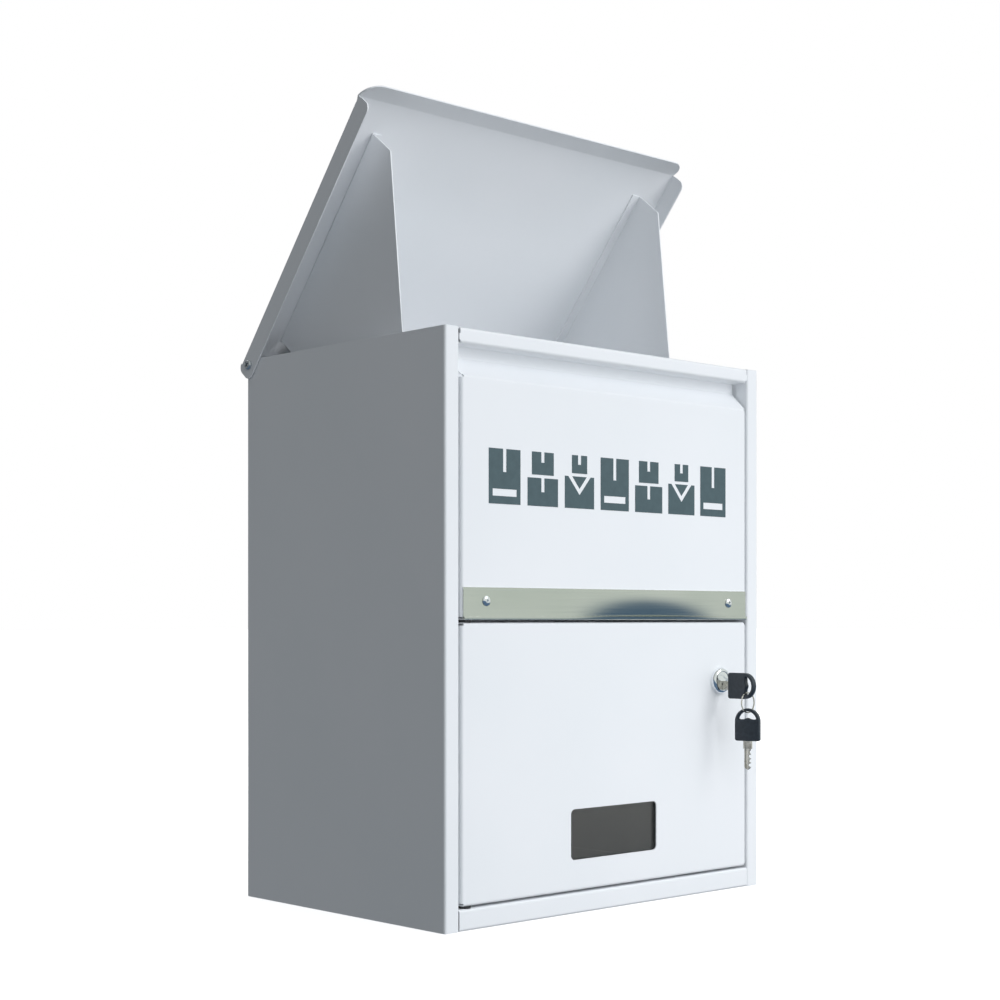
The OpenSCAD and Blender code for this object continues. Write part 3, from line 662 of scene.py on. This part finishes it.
def place(piece, matrix):
    """Moves a finished mesh to its place, and leaves its object at the origin."""
    piece.data.transform(matrix)


# %% The row tree
def make_row_tree():
    """A row of copies of an object, with an optional mirror image across the box."""
    tree = new_tree("fixing_row", [
        ("Part", "NodeSocketObject"), ("Count", "NodeSocketInt"), ("First", "NodeSocketVector"),
        ("Step", "NodeSocketVector"), ("Turn", "NodeSocketVector"), ("Both Sides", "NodeSocketBool"),
        ("Finish", "NodeSocketMaterial")])
    given = add(tree, "NodeGroupInput")
    line = add(tree, "GeometryNodeMeshLine", links={
        "Count": given.outputs["Count"], "Start Location": given.outputs["First"],
        "Offset": given.outputs["Step"]})
    part = add(tree, "GeometryNodeObjectInfo", links={"Object": given.outputs["Part"]})
    turn = add(tree, "FunctionNodeEulerToRotation", links={0: given.outputs["Turn"]})
    row = add(tree, "GeometryNodeInstanceOnPoints", links={
        "Points": line.outputs[0], "Instance": part.outputs["Geometry"], "Rotation": turn.outputs[0]})
    solid = add(tree, "GeometryNodeRealizeInstances", links={0: row.outputs[0]})
    flipped = add(tree, "GeometryNodeTransform", {"Scale": (-1, 1, 1)}, {0: solid.outputs[0]})
    turned_out = add(tree, "GeometryNodeFlipFaces", links={0: flipped.outputs[0]})
    other = add(tree, "GeometryNodeSwitch", links={
        "Switch": given.outputs["Both Sides"], "True": turned_out.outputs[0]}, input_type="GEOMETRY")
    both = add(tree, "GeometryNodeJoinGeometry")
    tree.links.new(solid.outputs[0], both.inputs[0])
    tree.links.new(other.outputs[0], both.inputs[0])
    whole = add(tree, "GeometryNodeRealizeInstances", links={0: both.outputs[0]})
    finished = add(tree, "GeometryNodeSetMaterial", links={
        "Geometry": whole.outputs[0], "Material": given.outputs["Finish"]})
    add(tree, "NodeGroupOutput", links={0: finished.outputs[0]})
    return tree


row_tree = make_row_tree()

# %% Rivets in the drip strip
STRIP_T = 0.8           # the strip's sheet, which lies on the front
rivet_low, rivet_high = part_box("strip_rivets")
strip_rivet_x = rivet_low.x + STRIP_RIVET_HEAD * MM
strip_rivet_y = door_face_y - STRIP_T * MM
strip_rivet_z = (rivet_low.z + rivet_high.z) / 2
strip_rivets = grow(row_tree, "strip_rivet_pair", part=strip_rivet, count=2,
                    first=(strip_rivet_x, strip_rivet_y, strip_rivet_z), step=(-2 * strip_rivet_x, 0, 0),
                    turn=(math.radians(90), 0, 0), both_sides=False, finish=polished_chrome)

# %% Rivets in the hopper, in the lid's level drawing
WING_X = 157            # outer face of each hopper wing, from the middle
HOPPER_RIVET_Y = -29.6
HOPPER_RIVET_TOP = -50
HOPPER_RIVET_PITCH = 60
hopper_rivets = grow(row_tree, "hopper_rivet_rows", part=hopper_rivet, count=3,
                     first=(-WING_X * MM, HOPPER_RIVET_Y * MM, HOPPER_RIVET_TOP * MM),
                     step=(0, 0, -HOPPER_RIVET_PITCH * MM), turn=(0, math.radians(-90), 0),
                     both_sides=True, finish=zinc_plate)
place(hopper_rivets, on_lid)

# %% [markdown]
# ## Spot welds
# The hopper's wings are held to the lid by their feet. Two copper electrodes squeeze and melt the
# sheets together and leave a shallow ring every few centimetres, which the paint softens. One
# spun ring and the row tree make them all, and the mirror image serves the other wing.

# %% Spot welds along the wing feet
weld_mark = turned("weld_mark_shape", [
    (0, 0.03), (1.5, 0.03), (2.0, 0.14), (2.4, 0.16), (2.8, 0.1), (3.1, 0), (3.1, -0.3), (0, -0.3)],
    steps=32)
FOOT_UNDER = 7.7        # underside of the feet, above the lid's pivots
WELD_IN = 5.6           # from the wing's outer face to the middle of its foot
WELD_START = -206
WELD_PITCH = 34
spot_welds = grow(row_tree, "spot_weld_rows", part=weld_mark, count=6,
                  first=((WELD_IN - WING_X) * MM, WELD_START * MM, FOOT_UNDER * MM),
                  step=(0, WELD_PITCH * MM, 0), turn=(math.radians(180), 0, 0),
                  both_sides=True, finish=powder_coat)
place(spot_welds, on_lid)

# %% [markdown]
# ## The lock's case
# The lock is a threaded barrel with a domed chrome face. Behind the door the barrel carries a fine
# thread for its nut. The case is one spun profile, and the thread is a spiral with a small rounded
# section drawn along it.

# %% Lock case
BEZEL_R = 11.3
BEZEL_H = 4.4
BARREL_R = 9.5
BARREL_L = 18
BORE_R = 7.65
FACE_R = 8.5            # where the dome's curve ends in the flat face
RIM_H = 0.7             # height of the upright rim under the dome
CORE_R = BARREL_R - 0.1
lock_case = turned("lock_case", [
    (BORE_R, -BARREL_L), (CORE_R - 0.3, -BARREL_L), (CORE_R, -BARREL_L + 0.4), (CORE_R, 0),
    (BEZEL_R - 0.15, 0), (BEZEL_R, 0.15),
    *arc((FACE_R, RIM_H), (BEZEL_R - FACE_R, BEZEL_H - RIM_H), 0, 90, 16),
    *arc((BORE_R + 0.3, BEZEL_H - 0.3), (0.3, 0.3), 90, 180, 4)], steps=96)
lock_case.data.materials.append(polished_chrome)
bpy.context.scene.collection.objects.link(lock_case)
place(lock_case, on_lock)
print("lock case faces:", len(lock_case.data.polygons))


# %% A spiral with a drawn section, for the thread and the split ring
def make_coil_tree():
    """A rounded rectangular section drawn along a spiral."""
    tree = new_tree("drawn_coil", [
        ("Radius", "NodeSocketFloat"), ("Turns", "NodeSocketFloat"), ("Rise", "NodeSocketFloat"),
        ("Width", "NodeSocketFloat"), ("Thickness", "NodeSocketFloat"), ("Corner", "NodeSocketFloat"),
        ("Finish", "NodeSocketMaterial")])
    given = add(tree, "NodeGroupInput")
    path = add(tree, "GeometryNodeCurveSpiral", {"Resolution": 72}, {
        "Rotations": given.outputs["Turns"], "Start Radius": given.outputs["Radius"],
        "End Radius": given.outputs["Radius"], "Height": given.outputs["Rise"]})
    upright = add(tree, "GeometryNodeSetCurveNormal", links={0: path.outputs[0]}, mode="Z_UP")
    section = add(tree, "GeometryNodeCurvePrimitiveQuadrilateral", links={
        "Width": given.outputs["Width"], "Height": given.outputs["Thickness"]})
    rounded = add(tree, "GeometryNodeFilletCurve", {"Count": 3}, {
        0: section.outputs[0], "Radius": given.outputs["Corner"]}, mode="POLY")
    drawn = add(tree, "GeometryNodeCurveToMesh", {"Fill Caps": True}, {
        "Curve": upright.outputs[0], "Profile Curve": rounded.outputs[0]})
    smooth = add(tree, "GeometryNodeSetShadeSmooth", links={0: drawn.outputs[0]})
    solid = add(tree, "GeometryNodeRealizeInstances", links={0: smooth.outputs[0]})
    finished = add(tree, "GeometryNodeSetMaterial", links={
        "Geometry": solid.outputs[0], "Material": given.outputs["Finish"]})
    add(tree, "NodeGroupOutput", links={0: finished.outputs[0]})
    return tree


coil_tree = make_coil_tree()

# %% Lock thread
THREAD_L = 9.6
THREAD_END = 0.8        # from the barrel's end to the first turn
lock_thread = grow(coil_tree, "lock_thread", radius=(BARREL_R - 0.2) * MM, turns=9.0, rise=THREAD_L * MM,
                   width=0.7 * MM, thickness=0.5 * MM, corner=0.2 * MM, finish=polished_chrome)
place(lock_thread, on_lock @ Matrix.Translation((0, 0, (THREAD_END - BARREL_L) * MM)))

# %% [markdown]
# ## The split ring
# A split ring is flat wire wound twice round and hardened, so that a key can be worked in between
# the two turns. The same spiral makes it. Its turns rise by one wire thickness in all, so they lie
# partly in each other, which keeps the ring no thicker than the CAD model's.

# %% Split ring
ring_low, ring_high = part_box("key_ring")
ring_centre = (ring_low + ring_high) / 2
ring_outer = (ring_high.x - ring_low.x) / 2
WIRE_W = 1.1
WIRE_T = 0.55
RING_GAP = 0.1          # how far the ring stays inside the CAD model's
RING_ENDS = 150         # degrees that the wire's ends are turned round the ring
split_ring = grow(coil_tree, "split_ring", radius=ring_outer - (WIRE_W / 2 + RING_GAP) * MM, turns=1.97,
                  rise=WIRE_T * MM, width=WIRE_W * MM, thickness=WIRE_T * 0.97 * MM, corner=0.17 * MM,
                  finish=nickel_silver)
place(split_ring, Matrix.Translation(ring_centre) @ turn_about("X", 90) @ turn_about("Z", RING_ENDS)
      @ Matrix.Translation((0, 0, -WIRE_T / 2 * MM)))

# %% [markdown]
# ## Key heads
# Each key's head is moulded round its blade: a rounded plate with a slot for the ring, whose lower
# edge swells up in the middle, low enough to clear the ring when the key turns. A flat curve with
# a hole in it makes exactly this kind of plate. Its extrude gives the thickness, and its bevel
# rounds every edge like a moulded part.

# %% Head and slot outlines
HEAD_R = 11
HEAD_L = 27.5
HEAD_T = 4.4
HEAD_FLAT = HEAD_L - HEAD_R
CORNER_R = 2
SLOT_R = HEAD_R - 2.4
SLOT_CHORD = 1.5        # the slot's lower edge, above the middle of the head's round end
SLOT_END = 1.0          # height of the small upright end on each side of the slot
SWELL_FOOT = 0.2
SWELL_H = 1.2
SWELL_W = 2.3
SWELL_STEP = 0.6        # spacing of the points along the swollen edge
SWELL_POINTS = 24


def head_outline():
    """The head's edge, with its flat end at height 0."""
    return [*arc((HEAD_R - CORNER_R, CORNER_R), (CORNER_R, CORNER_R), -90, 0, 6),
            *arc((0, HEAD_FLAT), (HEAD_R, HEAD_R), 0, 180, 36),
            *arc((-HEAD_R + CORNER_R, CORNER_R), (CORNER_R, CORNER_R), 180, 270, 6)]


def slot_outline():
    """The slot's edge: an arc, small round ends, and a chord that swells up in the middle."""
    low = HEAD_FLAT + SLOT_CHORD + SWELL_FOOT
    ends = math.degrees(math.asin((SLOT_CHORD + SLOT_END) / SLOT_R))
    across = [SWELL_STEP * (i - (SWELL_POINTS - 1) / 2) for i in range(SWELL_POINTS)]
    swell = [(x, low + SWELL_H * math.exp(-(x / SWELL_W) ** 2)) for x in across]
    return [*arc((0, HEAD_FLAT), (SLOT_R, SLOT_R), ends, 180 - ends, 24), *swell]


def moulded_head(name, matrix):
    """A key head as a closed mesh, moved to its place."""
    round_r = 0.55 * MM
    outline = bpy.data.curves.new(name, "CURVE")
    outline.dimensions = "2D"
    outline.fill_mode = "BOTH"
    outline.extrude = HEAD_T / 2 * MM - round_r
    outline.bevel_depth = round_r
    outline.bevel_resolution = 3
    outline.offset = -round_r
    for points in (head_outline(), slot_outline()):
        spline = outline.splines.new("POLY")
        spline.points.add(len(points) - 1)
        for point, (x, y) in zip(spline.points, points):
            point.co = (x * MM, y * MM, 0, 1)
        spline.use_cyclic_u = True
    flat = bpy.data.objects.new(name + "_outline", outline)
    mesh = bpy.data.meshes.new_from_object(flat)
    shape = bmesh.new()
    shape.from_mesh(mesh)
    bmesh.ops.remove_doubles(shape, verts=shape.verts, dist=0.002 * MM)
    bmesh.ops.recalc_face_normals(shape, faces=shape.faces)
    shape.to_mesh(mesh)
    shape.free()
    stand = Matrix(((0, 0, 1, 0), (1, 0, 0, 0), (0, 1, 0, 0), (0, 0, 0, 1)))
    mesh.transform(matrix @ stand)
    mesh.shade_smooth()
    mesh.set_sharp_from_angle(angle=SHARP)
    mesh.materials.clear()
    mesh.materials.append(key_plastic)
    piece = bpy.data.objects.new(name, mesh)
    bpy.context.scene.collection.objects.link(piece)
    print(name, "has", len(mesh.polygons), "faces")
    return piece


# %% Both heads
SPARE_TURN = 16         # degrees that the hanging key is turned about the vertical
key_low, key_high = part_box("key_head")
key_middle = (key_low + key_high) / 2
key_stand = Matrix.Translation((key_middle.x, key_high.y, key_middle.z)) @ turn_about("X", 90)
main_head = moulded_head("moulded_key_head", key_stand)
spare_low, spare_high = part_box("spare_key_head")
spare_middle = (spare_low + spare_high) / 2
spare_stand = Matrix.Translation((spare_middle.x, spare_middle.y, spare_low.z))
spare_head = moulded_head("moulded_spare_key_head", spare_stand @ turn_about("Z", SPARE_TURN))

# %% [markdown]
# ## Bodies for the new pieces
# Every new piece rides on the body it is fixed to, and the CAD nodes that it stands for are hidden.

# %% Bodies, slots and replaced nodes
NEW_PIECES = [
    (strip_rivets, "root", "zinc_plate", ["strip_rivets"]),
    (hopper_rivets, "lid", "zinc_plate", ["hopper_rivets"]),
    (spot_welds, "lid", "painted_steel", []),
    (lock_case, "door", "polished_chrome", ["lock_body"]),
    (lock_thread, "door", "polished_chrome", []),
    (split_ring, "ring", "key_steel", ["key_ring"]),
    (main_head, "key", "key_plastic", ["key_head"]),
    (spare_head, "spare_key", "key_plastic", ["spare_key_head"]),
]
for piece, body, slot, stood_for in NEW_PIECES:
    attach(piece, body)
    if stood_for:
        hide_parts(*stood_for)
print(len(NEW_PIECES), "new pieces placed")

# %% [markdown]
# ## The floor
# The box stands on white paper. Under this soft light a plain white floor would turn grey, so the
# paper glows too, a little less round the foot of the box than far from it. It is hidden from
# diffuse and glossy rays, so that it neither lights the box nor shows in its metal.

# %% Paper floor
PAPER_HALF = 30         # metres
PAPER_DROP = 0.2        # mm below the box, so that the two don't share a plane
paper_mesh = bpy.data.meshes.new("paper_floor")
paper_corners = [(x * PAPER_HALF, y * PAPER_HALF, 0) for x, y in ((-1, -1), (1, -1), (1, 1), (-1, 1))]
paper_mesh.from_pydata(paper_corners, [], [(0, 1, 2, 3)])
paper_floor = bpy.data.objects.new("paper_floor", paper_mesh)
paper_floor.location.z = -PAPER_DROP * MM
paper_floor.visible_diffuse = False
paper_floor.visible_glossy = False
paper_floor.visible_shadow = False
bpy.context.scene.collection.objects.link(paper_floor)
print("paper in metres:", 2 * PAPER_HALF)

# %% Glowing paper
white_paper, paper_tree, paper_surface = base_finish("white_paper", (0.8, 0.8, 0.8), 0.9)
paper_surface.inputs["Emission Color"].default_value = (*WHITE, 1)
from_box = paper_tree.nodes.new("ShaderNodeTexCoord")
how_far = paper_tree.nodes.new("ShaderNodeVectorMath")
how_far.operation = "LENGTH"
paper_tree.links.new(from_box.outputs["Object"], how_far.inputs[0])
paper_glow = spread(paper_tree, how_far.outputs["Value"], low=0.76, high=1.0, start=0.4, end=1.1)
paper_tree.links.new(paper_glow, paper_surface.inputs["Emission Strength"])
paper_mesh.materials.append(white_paper)
print("finish:", white_paper.name)
